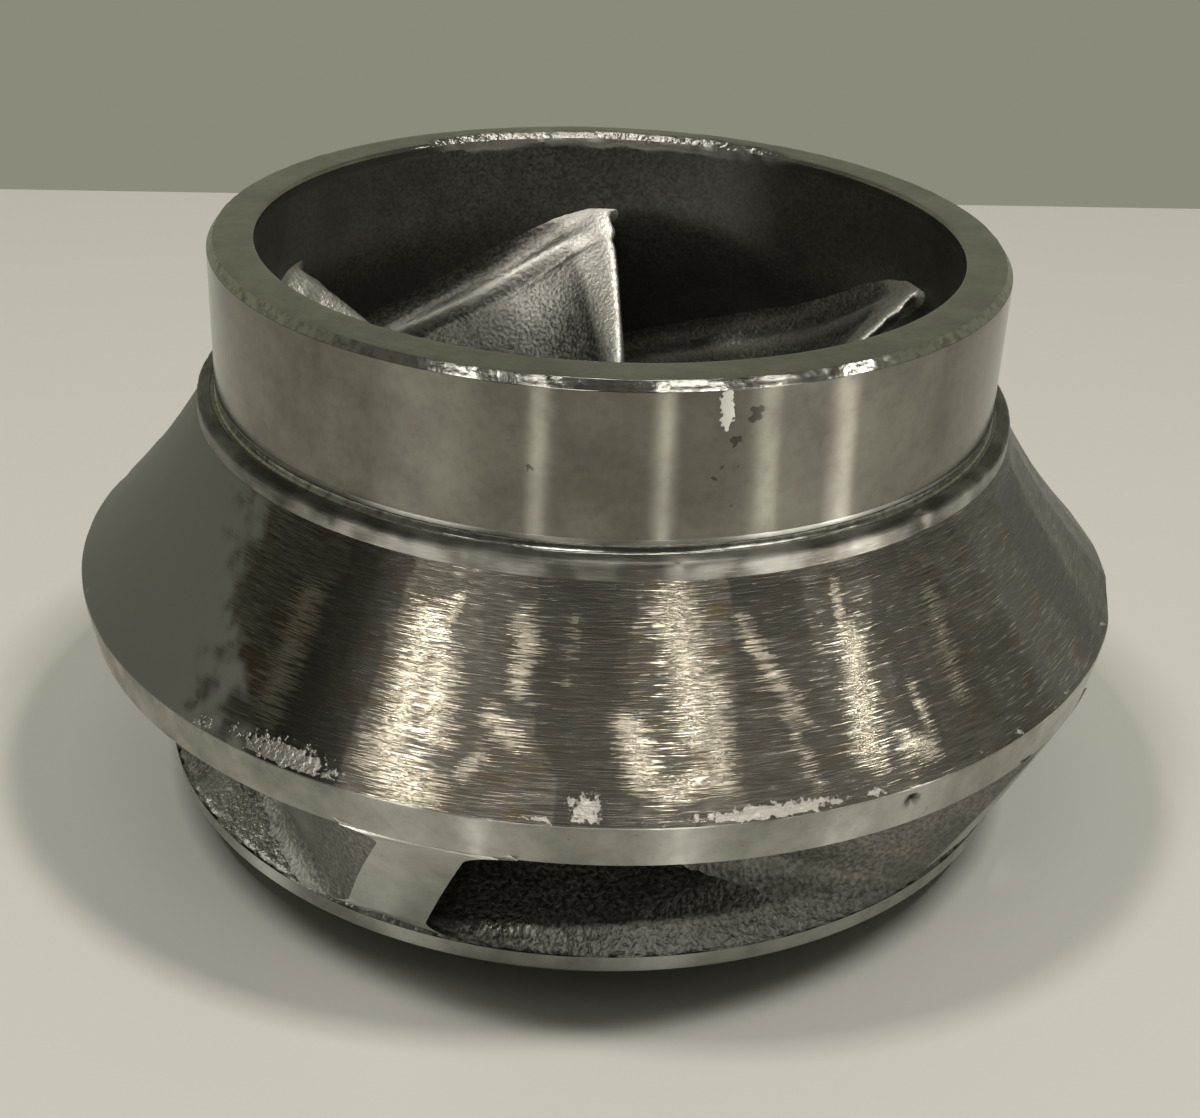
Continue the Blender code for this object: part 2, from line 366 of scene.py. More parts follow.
def ground_cone(angle, along, places):
    """Offset left by hand grinding the cone in flats, and how dark the flat at each place is."""
    aims, depths, tones = flats_table()
    draw = random.Random(CUTS_SEED)
    wander = fractal(places, 7.0, 3, 2.4) * 1.3 + fractal(places, 2.2, 2, 6.1) * 0.35
    angle = np.where(angle < FLATS_START_DEG, angle + 360.0, angle) + wander
    best = np.full(np.broadcast(angle, along).shape, -1e9)
    total = np.zeros_like(best)
    which = np.zeros_like(best)
    mean_depth = float(np.mean(depths))

    # Each flat is cut in an upper and a lower tier. Where flats meet, the sum rounds the edge off.
    for k, (aim, depth) in enumerate(zip(aims, depths)):
        for tier in range(2):
            turn = draw.uniform(-0.8, 0.8)
            slope = draw.uniform(-0.012, 0.012) + TIER_SLOPES[tier]
            level = draw.uniform(0.16, 0.30) + (depth - mean_depth) * 0.35
            middle = draw.uniform(*TIER_MIDDLES[tier])
            off = np.radians(angle - aim - turn)
            apart = along - middle
            plane = CONE_MID_R * off ** 2 / 2.0 - level + slope * apart + apart ** 2 / (2.0 * FLAT_BEND_R)
            weight = np.exp(-CUT_SHARPNESS * np.clip(plane, -3.0, 3.0))
            better = -plane > best
            best = np.where(better, -plane, best)
            which = np.where(better, k * 2 + tier, which)
            total += weight
    total += 1.0
    cut = -np.log(total) / CUT_SHARPNESS
    values = [tone + 0.25 * tier - 0.12 for tone in tones for tier in range(2)]

    # Low rills along the cone, 4.5 mm wide and 15 mm long, and wider swells
    runs = np.stack(np.broadcast_arrays(np.radians(angle) * CONE_MID_R / 4.5, along / 15.0, 0.0), -1)
    rills = fractal(runs, 1.0, 2, 3.0) * 0.035 + fractal(places, 11.0, 2, 9.9) * 0.04 - 0.05
    return np.minimum(cut, 0.0) + rills, np.array(values)[which.astype(int)]


def highlight_stroke_share(angle, along):
    """Nearness to a stroke of painted highlight: 1 on its middle line and a half at its edge."""
    around = np.radians(angle) * CONE_MID_R
    share = np.zeros(np.broadcast(angle, along).shape)
    for a0, s0, a1, s1, wide, bright in HIGHLIGHT_STROKES:
        x0, x1 = math.radians(a0) * CONE_MID_R, math.radians(a1) * CONE_MID_R
        run, drop = x1 - x0, s1 - s0
        t = np.clip(((around - x0) * run + (along - s0) * drop) / (run * run + drop * drop), 0.0, 1.0)
        gap = np.hypot(around - x0 - run * t, along - s0 - drop * t)
        share = np.maximum(share, np.clip(1.0 - gap / (2.0 * wide), 0.0, 1.0) * bright)
    return share


def ground_share(places, angle, depth):
    """How far hand grinding reached: 1 on ground metal, 0 on the blasted skin at the left."""
    angle = np.where(angle > 90.0, angle - 360.0, angle)
    ragged = fractal(places, 14.0, 3, 3.1) * 6.0 + fractal(places, 2.5, 3, 8.7) * 4.0
    left_edge = GROUND_FROM_DEG - (depth - GROUND_LEAN_Z) * GROUND_LEAN + ragged
    far_edge = GROUND_TO_DEG + ragged
    return smooth_step(angle, left_edge - 3.0, left_edge + 3.0) + 1.0 - smooth_step(
        angle, far_edge - 3.0, far_edge + 3.0)


def angles_around():
    """Angles in degrees: half a degree apart at the front and one degree behind."""
    return np.concatenate([np.arange(-150.0, -30.0, 0.5), np.arange(-30.0, 210.0, 1.0)])


def normals_of(profile):
    """Outward normals of a closed outline that runs clockwise in radius and depth."""
    ahead = np.roll(profile, -1, axis=0) - profile
    behind = profile - np.roll(profile, 1, axis=0)
    ahead /= np.linalg.norm(ahead, axis=1, keepdims=True) + 1e-9
    behind /= np.linalg.norm(behind, axis=1, keepdims=True) + 1e-9
    along = ahead + behind
    along /= np.linalg.norm(along, axis=1, keepdims=True) + 1e-9
    return np.stack([-along[:, 1], along[:, 0]], 1)


def new_object(name, places, faces, kinds, materials, masks):
    """Make a mesh object from places in mm, with a material for each face and named point values."""
    mesh = bpy.data.meshes.new(name)
    lifted = (places + np.array([0.0, 0.0, HEIGHT])) * MM
    mesh.from_pydata(lifted.tolist(), [], faces)
    for mat in materials:
        mesh.materials.append(mat)
    mesh.polygons.foreach_set("material_index", kinds)
    for key, values in masks.items():
        layer = mesh.attributes.new(key, "FLOAT", "POINT")
        layer.data.foreach_set("value", np.asarray(values, np.float32).ravel())
    mesh.validate()
    bm = bmesh.new()
    bm.from_mesh(mesh)
    bmesh.ops.recalc_face_normals(bm, faces=bm.faces)
    bm.to_mesh(mesh)
    bm.free()
    mesh.shade_smooth()
    mesh.set_sharp_from_angle(angle=math.radians(SHARP_DEG))
    obj = bpy.data.objects.new(name, mesh)
    bpy.context.scene.collection.objects.link(obj)
    return obj


def turned_object(name, outline, surface):
    """Turn a closed outline, moving each point along its normal by what surface() returns."""
    outline = filled_in(outline)
    profile = np.array([p[:2] for p in outline])
    angle, radius, depth, kinds = np.broadcast_arrays(
        angles_around()[:, None], profile[:, 0], profile[:, 1], np.array([p[2] for p in outline]))
    places = around_axis(angle, radius, depth)
    offset, masks = surface(angle, radius, depth, kinds, places)
    normal = normals_of(profile)
    places = around_axis(angle, radius + normal[:, 0] * offset, depth + normal[:, 1] * offset)
    index = np.arange(angle.size).reshape(angle.shape)
    after = np.roll(index, -1, axis=0)
    faces = np.stack([index, after, np.roll(after, -1, axis=1), np.roll(index, -1, axis=1)], -1)
    return new_object(name, places.reshape(-1, 3), faces.reshape(-1, 4).tolist(),
                      kinds.ravel(), finish_list(), masks)


def finish_piece(obj, slot, *nodes):
    """Tie a piece to the casting's body and hide the solids it stands for; the slot is not used."""
    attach(obj, "root")
    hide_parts(*nodes)


# Eye ring and front shroud


def eye_ring_outline():
    """Closed outline of the eye ring: top face, wear land, undercut, ledge and inside."""
    foot = CONE_START_Z
    share = np.linspace(0.0, 1.0, 400)
    inner_r, inner_z = INSIDE(share)
    keep = inner_z > foot + 0.01
    inner = list(zip(inner_r[keep][::-7], inner_z[keep][::-7]))
    inner = [(r, z, CAST) for r, z in inner if z < -4.4]
    outline = [
        (WEAR_LAND_R - CHAMFER_WIDE, 0.0, FILED),
        (WEAR_LAND_R, -CHAMFER_HIGH, TURNED),
        (WEAR_LAND_R, LAND_FOOT_Z, SATIN),
        (WEAR_LAND_R - 0.5, LAND_FOOT_Z - 1.0, FILED),
        (WEAR_LAND_R - 0.1, LEDGE_Z - 0.5, FILED),
        (WEAR_LAND_R + 0.8, LEDGE_Z + 0.2, GROUND),
        (LEDGE_R, LEDGE_Z - 0.1, GROUND),
        (LEDGE_R, foot, GROUND),
    ]
    outline.append((float(np.interp(-foot, -inner_z, inner_r)), foot, CAST))
    outline += inner
    outline += [(EYE_R, -z, CAST) for z in (3.2, 2.6, 2.1, 1.6, 1.1)] + [(EYE_R, 0.0, TURNED)]
    lip = len(outline) - 1
    outline += [(EYE_R + r, 0.0, TURNED) for r in (1.2, 1.8, 2.4, 3.0, 3.6)]
    radii = {0: 0.10, 1: 0.20, 2: 0.3, 3: 0.35, 4: 0.4, 5: 0.3, 6: 0.8, lip: 0.6}
    return rounded(outline, radii)


def cast_swell(places):
    """Low swells and grains of a sand-cast wall, in mm."""
    return fractal(places, 9.0, 3) * 0.12 + fractal(places, 2.6, 2, 4.0) * 0.04


def away_from(value, seam):
    """0 at the seam between two pieces and 1 from 1.5 mm away, so that both pieces meet there."""
    return smooth_step(np.abs(value - seam), 0.1, 1.5)


def eye_ring_surface(angle, radius, depth, kinds, places):
    """Nicks, an uneven chamfer, and the rough cast strip on the far edge of the eye."""
    inside = (kinds == CAST) & (depth < -1.9)
    offset = np.where(inside, cast_swell(places) * away_from(depth, CONE_START_Z), 0.0)

    # Rough cast strip that the lathe left, which stays below the top face
    ragged = fractal(places, 5.0, 3, 1.7)
    behind = np.where(angle < 0.0, angle + 360.0, angle)
    reach = smooth_step(behind, *STRIP_RISE_DEG) * (1.0 - smooth_step(behind, *STRIP_FADE_DEG))
    wide = (STRIP_WIDE + ragged * 0.8) * reach
    outward = radius - EYE_R
    lip = (radius < WEAR_LAND_R - 1.5) & (depth > -3.4)
    low = np.clip(wide - outward, 0.0, None) * 0.58 + np.clip(depth, None, 0.0)
    rough = np.where(lip, smooth_step(low, 0.0, 0.25) * reach, 0.0)
    offset -= np.where(lip, np.clip(low, 0.0, None), 0.0) * 0.75
    offset += rough * (fractal(places, 1.6, 3, 6.0) * 0.30 + fractal(places, 0.7, 2, 1.0) * 0.12)
    offset = np.where(lip & (depth > -0.6), np.minimum(offset, 0.0), offset)

    # Nicks along the ledge, and an uneven chamfer that stays below the top face
    edge = (kinds == GROUND) & (radius > LEDGE_R - 0.9)
    nicks = smooth_step(fractal(places, 3.0, 2, 9.3), 0.34, 0.7) * away_from(depth, CONE_START_Z)
    offset -= np.where(edge, nicks * 0.16, 0.0)
    offset -= np.where(edge, spot(angle, depth, LEDGE_NICK, LEDGE_R) * 0.6, 0.0)
    chamfer = (kinds == FILED) & (depth > -2.0)
    offset += np.where(chamfer, np.minimum(fractal(places, 3.0, 3, 2.2) * 0.07 - 0.04, 0.0), 0.0)
    dressed = smooth_step(fractal(places, 7.0, 3, 4.4), -0.5, 0.4) * 0.5 + 0.4
    # The land mask darkens the whole wear land: painted shade for the dim room that the land mirrors
    land = (radius > EYE_R + 5.0) * smooth_step(-depth, 0.3, 1.5)
    masks = {"rough": rough, "grain": inside * 0.25, "ground": dressed, "flat": dressed, "land": land}
    return offset, masks


def shroud_outline():
    """Closed outline of the front shroud: ground cone, outlet band and inside."""
    share = np.linspace(0.0, 1.0, 400)
    inner_r, inner_z = INSIDE(share)
    keep = inner_z < CONE_START_Z
    inner = list(zip(inner_r[keep][::-6], inner_z[keep][::-6]))
    run, drop = cone_direction()
    outline = [(LEDGE_R, CONE_START_Z, GROUND)]
    steps = 10
    for k in range(1, steps):
        q = k / steps
        sag = CONE_SAG * 4.0 * q * (1.0 - q)
        outline.append((LEDGE_R + (TIP_R - LEDGE_R) * q + drop * sag,
                        CONE_START_Z + (TIP_Z - CONE_START_Z) * q - run * sag, GROUND))
    outline.append((TIP_R, TIP_Z, SATIN))
    tip = len(outline) - 1
    outline.append((BAND_R, BAND_Z, CAST))
    outline += [(r, z, CAST) for r, z in inner[1:]]
    outline.append((float(np.interp(-CONE_START_Z, -inner_z, inner_r)), CONE_START_Z, CAST))
    return rounded(outline, {tip: 0.35})


def shroud_surface(angle, radius, depth, kinds, places):
    """Flats of the hand grinding, a wavy lower edge, and the cast skin that the grinder missed."""
    outside = radius > np.interp(-depth, WALL_DEPTHS, WALL_RADII)
    along = (CONE_START_Z - depth) / CONE_STEEPNESS
    cut, flat = ground_cone(angle, along, places)
    ground = np.clip(ground_share(places, angle, depth), 0.0, 1.0)
    on_cone = outside & (depth > TIP_Z - 0.6)
    fade = smooth_step(along, 0.0, 4.0) * np.where(depth < TIP_Z - 0.3, 0.6, 1.0)
    offset = np.where(on_cone, cut * ground * fade, 0.0)

    # Cast skin left in low places near the lower edge, which stays above the edge itself
    left = smooth_step(fractal(places, 5.0, 3, 5.5) + (-depth - 49.5) * 0.30, 0.5, 0.7)
    keep = np.max([spot(angle, depth, patch, TIP_R - 1.0) for patch in SKIN_PATCHES], axis=0)
    ragged = keep + fractal(places, 2.0, 2, 3.3) * 0.25
    skin = np.clip(np.maximum(left * 0.6, smooth_step(ragged, 0.40, 0.60)), 0.0, 1.0) * on_cone
    above_edge = smooth_step(depth, TIP_Z - 0.2, TIP_Z + 0.5)
    skin *= above_edge
    offset -= skin * (0.05 + fractal(places, 1.4, 2, 2.0) * 0.05)
    offset += np.where(on_cone, (1.0 - ground) * (fractal(places, 12.0, 2) * 0.10 - 0.12), 0.0)

    # The band: slightly uneven where it was dressed by hand, with one pore
    band = outside & (depth <= TIP_Z - 0.3)
    offset += np.where(band, fractal(places, 16.0, 2, 7.7) * 0.06 - 0.03, 0.0) * away_from(depth, BAND_Z)
    pore = spot(angle, depth, BAND_PORE, TIP_R - 0.5)
    offset -= np.where(band | on_cone, smooth_step(pore, 0.2, 0.8) * 0.7, 0.0)
    inside = ~outside
    offset += np.where(inside, cast_swell(places) * away_from(depth, CONE_START_Z), 0.0)
    masks = {
        "ground": ground,
        "flat": flat,
        "skin": np.clip(np.maximum(left * 0.6, keep), 0.0, 1.0) * on_cone * above_edge,
        # Painted highlight along the grinder's strokes
        "stroke_highlight": highlight_stroke_share(angle, along) * on_cone,
        "pit": smooth_step(pore, 0.2, 0.7) * outside,
        "grain": inside * 0.25,
    }
    return offset, masks


# Hub and back shroud


def hub_outline():
    """Closed outline of the hub sleeve: bore, nose, start of the passage and boss."""
    share = np.linspace(0.0, 1.0, 200)
    r, z = PASSAGE(share)
    keep = r < BOSS_R
    outline = [
        (BORE_R, NOSE_Z - BORE_CHAMFER, MACHINED),
        (BORE_R + BORE_CHAMFER, NOSE_Z, MACHINED),
        (NOSE_R - 2.0, NOSE_Z, MACHINED),
    ]
    outline += [(a, b, CAST) for a, b in zip(r[keep][::4], z[keep][::4])]
    outline.append((BOSS_R, float(np.interp(BOSS_R, r, z)), CAST))
    foot = len(outline)
    outline += [
        (BOSS_R, -HEIGHT, MACHINED),
        (BORE_R + BORE_CHAMFER, -HEIGHT, MACHINED),
        (BORE_R, -HEIGHT + BORE_CHAMFER, MACHINED),
    ]
    return rounded(outline, {2: 1.2, foot: 0.8})


def hub_surface(angle, radius, depth, kinds, places):
    """Cast skin on the passage side and the boss, and clean turned faces."""
    cast = (kinds == CAST) & (depth > -HEIGHT + 1.0)
    offset = np.where(cast, cast_swell(places) * away_from(radius, BOSS_R), 0.0)
    return offset, {"grain": cast * 0.5}


def back_shroud_outline():
    """Closed outline of the back shroud: passage side, rim and hollow underside."""
    share = np.linspace(0.0, 1.0, 240)
    r, z = PASSAGE(share)
    keep = r > BOSS_R
    outline = [(BOSS_R, float(np.interp(BOSS_R, r, z)), CAST)]
    outline += [(a, b, CAST) for a, b in zip(r[keep][::4], z[keep][::4])]
    fine_from = HUB_RIM_R - 2.2
    outline = [point for point in outline if point[0] <= fine_from]
    outline += [(a, b, CAST) for a, b in zip(r, z) if fine_from < a < HUB_RIM_R - 0.15]
    outline.append((HUB_RIM_R, HUB_RIM_Z, SATIN))

    # Underside of the shell, from its outer edge to the boss
    along = np.array([r[-1] - r[-6], z[-1] - z[-6]])
    along /= np.hypot(*along)
    under = np.array([r[-1], z[-1]]) + np.array([along[1], -along[0]]) * SHELL

    # The shell slopes at the boss, so it is 1.32 times as thick there when measured upright
    top = np.array([BOSS_R, float(np.interp(BOSS_R, r, z)) - SHELL * 1.32])
    slope = (top - under) / np.hypot(*(top - under))
    rim_in = under + slope * (HUB_BACK_Z - under[1]) / slope[1]
    rim = len(outline)
    outline += [(HUB_RIM_R - 0.4, HUB_BACK_Z, SATIN), (rim_in[0], rim_in[1], BLASTED),
                (top[0] + 3.0, top[1] - 2.4, BLASTED), (top[0], top[1] - 3.4, BLASTED)]
    return rounded(outline, {rim: 0.4, rim + 1: 1.5, rim + 2: 2.5})


def back_shroud_surface(angle, radius, depth, kinds, places):
    """Granular sand-cast floor with a ragged dressed edge at the rim."""
    floor = kinds == CAST
    grain = fractal(places, 1.0, 2, 5.0)
    swell = fractal(places, 10.0, 3)
    burrs = smooth_step(fractal(places, 1.5, 3, 3.0), -0.1, 0.5)
    burrs *= smooth_step(radius, HUB_RIM_R - 1.0, HUB_RIM_R - 0.1)
    offset = np.where(floor, swell * 0.16 + grain * 0.12 - 0.10, 0.0) * away_from(radius, BOSS_R)
    offset -= np.where(floor, burrs * 0.40, 0.0)
    offset += np.where(kinds == BLASTED, swell * 0.15 + grain * 0.05, 0.0)

    # Dressed stripe along the rim at the left, and a painted glint on the floor of the front passage,
    # which is a paler and smoother spot
    stripe = smooth_step(radius + fractal(places, 6.0, 2) * 1.6, HUB_RIM_R - 5.5, HUB_RIM_R - 4.0)
    left = smooth_step(-angle, 112.0, 122.0) * (1.0 - smooth_step(-angle, 160.0, 175.0))
    glint = spot(angle, -radius, FLOOR_GLINT, -FLOOR_GLINT[1]) + fractal(places, 2.0, 3, 8.0) * 0.35
    dressed = np.maximum(stripe * left * 0.45, smooth_step(glint, 0.35, 0.65)) * floor
    return offset, {"grain": floor * 1.0, "dressed": dressed}


# Vanes


def unit_normals(line, t):
    """Unit normals of an even line, to the left of its run."""
    r1, z1 = line(t + 0.002)
    r0, z0 = line(t - 0.002)
    length = np.hypot(r1 - r0, z1 - z0)
    return -(z1 - z0) / length, (r1 - r0) / length


def vane_meridian(u, v):
    """Radius and depth in a vane: u from inlet to outlet, v from just inside the hub to the shroud."""
    ends = []
    for line, lead, sink in ((PASSAGE, HUB_LEAD_T, -SINK), (INSIDE, LEAD_T, SINK)):
        t = lead + (1.0 - lead) * u
        ends.append(np.array(line(t)) + np.array(unit_normals(line, t)) * sink)
    low, high = ends
    return low[0] + (high[0] - low[0]) * v, low[1] + (high[1] - low[1]) * v


def vane_turn(u, v):
    """Angle in radians of the middle of a vane, from its shroud-side lead."""
    at_hub = HUB_LEAD_DEG + HUB_WRAP_DEG * ((1.0 - HUB_BEND) * u + HUB_BEND * u * u)
    at_shroud = SHROUD_WRAP_DEG * u
    return np.radians(at_hub + (at_shroud - at_hub) * v)


def fillet(distance, radius):
    """Extra half thickness that a round fillet adds at a distance from the wall."""
    d = np.clip(distance, 0.0, radius)
    return radius - np.sqrt(np.clip(radius ** 2 - (radius - d) ** 2, 0.0, None))


def vane_faces(rows, spans):
    """Faces of a vane, and their material slots: 0 on its cast sides and 1 on its dressed outlet end.

    Its points are a grid of rows from inlet to outlet and spans from hub to shroud, once for each
    side. Both sides share the points of the nose.
    """
    index = np.arange(2 * rows * spans).reshape(2, rows, spans)
    index[1, 0, :] = index[0, 0, :]
    last = rows - 1
    quads = []
    for i in range(last):
        for j in range(spans - 1):
            for side in index:
                quads.append((side[i, j], side[i + 1, j], side[i + 1, j + 1], side[i, j + 1], 0))
        for j in (0, spans - 1):
            here, there = index[:, i, j], index[:, i + 1, j]
            quads.append((here[0], there[0], there[1], here[1], 0))
    for j in range(spans - 1):
        here, there = index[:, last, j], index[:, last, j + 1]
        quads.append((here[0], there[0], there[1], here[1], 1))
    faces, kinds = [], []
    for *corners, kind in quads:
        corners = list(dict.fromkeys(corners))
        if len(corners) > 2:
            faces.append(corners)
            kinds.append(kind)
    return faces, kinds


def vane_object(number, materials):
    """One wrapped vane with its rounded nose, its root fillets and the bead along the shroud."""
    # Rows are close together at the nose, and spans at the fillets and the bead
    rows = np.concatenate([[0.0, 0.0015, 0.005, 0.010, 0.018, 0.028, 0.040, 0.054],
                           np.linspace(0.07, 1.0, 84)])
    spans = np.concatenate([np.linspace(0.0, 0.14, 12), np.linspace(0.165, 0.76, 22),
                            np.linspace(0.775, 1.0, 20)])
    u = rows[:, None]
    v = spans[None, :]
    start = math.radians(FIRST_VANE_DEG - 360.0 / VANE_COUNT * number)
    r, z = vane_meridian(u, v)
    low_r, low_z = vane_meridian(u, np.zeros_like(v))
    high_r, high_z = vane_meridian(u, np.ones_like(v))
    height = np.hypot(high_r - low_r, high_z - low_z)
    from_hub = v * height - SINK
    from_shroud = (1.0 - v) * height - SINK
    ahead = np.minimum(u + 0.004, 1.0)
    behind = np.maximum(u - 0.004, 0.0)
    ahead_r, ahead_z = vane_meridian(ahead, v)
    behind_r, behind_z = vane_meridian(behind, v)
    along = np.hypot(ahead_r - behind_r, ahead_z - behind_z)
    around = r * (vane_turn(ahead, v) - vane_turn(behind, v))
    sine = np.clip(along / np.hypot(along, around), 0.2, 1.0)
    length = along / (ahead - behind)

    root = fillet(from_hub, HUB_FILLET + HUB_FILLET_MORE * u)
    root = root + fillet(from_shroud, SHROUD_FILLET + SHROUD_FILLET_MORE * np.minimum(u * 8.0, 1.0))
    nose = np.clip((u * length + root * 0.6) / NOSE_LENGTH, 0.0, 1.0)
    swell = np.sqrt(np.clip(1.0 - (1.0 - nose) ** 2, 0.0, 1.0))
    thick = INLET_THICK + (OUTLET_THICK - INLET_THICK) * u
    inner = 1.0 - smooth_step(u, 0.55, 0.8)
    bead = inner * sum(np.exp(-((from_shroud - at) / wide) ** 2) * high for at, wide, high in BEADS)
    fade_out = 1.0 - smooth_step(u, 0.96, 1.0)
    middle = start + vane_turn(u, v)
    sides = []
    masks = {"grain": [], "edge": [], "bead": []}
    for side in (-1.0, 1.0):
        half = swell * (thick / 2.0 + root + bead) / (r * sine)
        angle = middle + side * half
        places = around_axis(np.degrees(angle), r, z)
        ripple = fractal(places, 8.0, 3, 2.0 * side) * 0.20 + fractal(places, 1.3, 2, 7.0) * 0.07
        ripple = ripple * fade_out
        angle = angle + side * ripple * swell / (r * sine)
        sides.append(around_axis(np.degrees(angle), r, z))
        masks["grain"].append(np.full_like(r, 0.7))
        # The edge and bead masks make the cast steel paler on the nose and the bead: partly wear, partly
        # painted highlight
        masks["edge"].append(smooth_step(-u * length, -3.2, -1.8) * smooth_step(v, 0.0, 0.15))
        masks["bead"].append(np.clip(bead * 1.6, 0.0, 1.0) + np.zeros_like(r))
    faces, kinds = vane_faces(*r.shape)
    places = np.stack(sides).reshape(-1, 3)
    masks = {key: np.stack(values) for key, values in masks.items()}
    return new_object("vane_casting_%d" % (number + 1), places, faces, kinds, materials, masks)


# Materials

# Radius in mm where the marks around the axis have their true length
MARKS_RADIUS = 70.0


def ring_space(tree, mm):
    """Unit direction away from the axis, and a distance in mm that runs along any turned profile."""
    level = node(tree, "VectorMath", {0: mm, 1: (1.0, 1.0, 0.0)}, operation="MULTIPLY")
    radius = node(tree, "VectorMath", {0: level}, out="Value", operation="LENGTH")
    away = node(tree, "VectorMath", {0: level}, operation="NORMALIZE")
    height = node(tree, "SeparateXYZ", {0: mm}, out=2)
    pace = node(tree, "Math", {0: radius, 1: height}, operation="SUBTRACT")
    return away, pace


def marks_around(tree, rings, reach, pitch, tilt=0.0):
    """Noise of marks that run around the axis, reach mm long and pitch mm apart."""
    away, pace = rings
    stretch = MARKS_RADIUS / reach
    long = node(tree, "VectorMath", {0: away, "Scale": stretch}, operation="SCALE")
    across = node(tree, "Math", {0: pace, 1: 1.0 / pitch}, operation="MULTIPLY")
    if tilt:
        sideways = node(tree, "SeparateXYZ", {0: away})
        across = node(tree, "Math", {0: sideways, 1: tilt / pitch, 2: across}, operation="MULTIPLY_ADD")
    lift = node(tree, "CombineXYZ", {2: across})
    space = node(tree, "VectorMath", {0: long, 1: lift}, operation="ADD")
    return node(tree, "TexNoise", {"Vector": space, "Scale": 1.0, "Detail": 3.0, "Roughness": 0.6})


def new_metal(name, grooves=0.0):
    """Bare metal, and the place in the casting in mm.

    Grooves, from 0 to 1, run around the axis and stretch highlights along the profile.
    """
    mat = bpy.data.materials.new(name)
    mat.use_nodes = True
    tree = mat.node_tree
    shader = tree.nodes["Principled BSDF"]
    shader.inputs["Metallic"].default_value = 1.0
    if grooves:
        shader.inputs["Anisotropic"].default_value = grooves
        shader.inputs["Anisotropic Rotation"].default_value = 0.25
        tangent = node(tree, "Tangent", direction_type="RADIAL", axis="Z")
        tree.links.new(tangent, shader.inputs["Tangent"])
    place = node(tree, "TexCoord", out="Object")
    mm = node(tree, "VectorMath", {0: place, "Scale": 1.0 / MM}, operation="SCALE")
    return mat, tree, shader, mm


def layered_colour(tree, base, layers):
    """Colour with layers over it.

    A layer has a value, where on that value it starts and is full, its share when full, its colour,
    and its kind of blending where it isn't a plain one.
    """
    colour = hex_colour(base)
    for value, start, full, most, code, *blend in layers:
        share = node(tree, "MapRange",
                     {"Value": value, "From Min": start, "From Max": full, "To Max": most})
        colour = node(tree, "Mix", {0: share, 6: colour, 7: hex_colour(code)}, out=2, data_type="RGBA",
                      blend_type=blend[0] if blend else "MIX")
    return colour


def lay_finish(tree, shader, colour, roughness, bumps):
    """Give a metal its colour, its roughness, and its bumps.

    A bump has a value, a strength and a height in mm. Roughness is one number where it is even.
    """
    tree.links.new(colour, shader.inputs["Base Color"])
    if isinstance(roughness, float):
        shader.inputs["Roughness"].default_value = roughness
    else:
        tree.links.new(roughness, shader.inputs["Roughness"])
    under = {}
    for value, strength, height in bumps:
        under["Normal"] = node(tree, "Bump",
                               {"Height": value, "Strength": strength, "Distance": height * MM, **under})
    tree.links.new(under["Normal"], shader.inputs["Normal"])


def spots(tree, mm, marks):
    """Distance to the nearest of some ragged marks, where 1 is the rim of a mark."""
    shake = node(tree, "TexNoise", {"Vector": mm, "Scale": 0.9, "Detail": 3.0}, out="Color")
    shift = node(tree, "VectorMath", {0: shake, 1: (0.5, 0.5, 0.5)}, operation="SUBTRACT")
    place = node(tree, "VectorMath", {0: shift, "Scale": 2.4}, operation="SCALE")
    place = node(tree, "VectorMath", {0: mm, 1: place}, operation="ADD")
    nearest = None
    for at, down, wide, tall in marks:
        a = math.radians(at)
        centre = (WEAR_LAND_R * math.cos(a), WEAR_LAND_R * math.sin(a), HEIGHT + down)
        away = node(tree, "VectorMath", {0: place, 1: centre}, operation="SUBTRACT")
        away = node(tree, "VectorMath", {0: away, 1: (1.0 / wide, 1.0 / wide, 1.0 / tall)},
                    operation="MULTIPLY")
        away = node(tree, "VectorMath", {0: away}, out="Value", operation="LENGTH")
        if nearest is not None:
            away = node(tree, "Math", {0: nearest, 1: away}, operation="MINIMUM")
        nearest = away
    return nearest


# Marks on the wear land: angle, depth below the top, and half width and height in mm
CHIP = [(-75.2, -4.0, 1.0, 2.7)]
STAINS = [(-71.4, -4.6, 0.9, 1.1), (-73.7, -8.4, 0.55, 0.8), (-75.0, -11.6, 0.3, 0.3),
          (-73.4, -11.9, 0.3, 0.3), (-76.3, -13.2, 0.35, 0.25), (-73.5, -17.5, 0.2, 0.3),
          (-98.6, -12.5, 0.5, 0.5)]


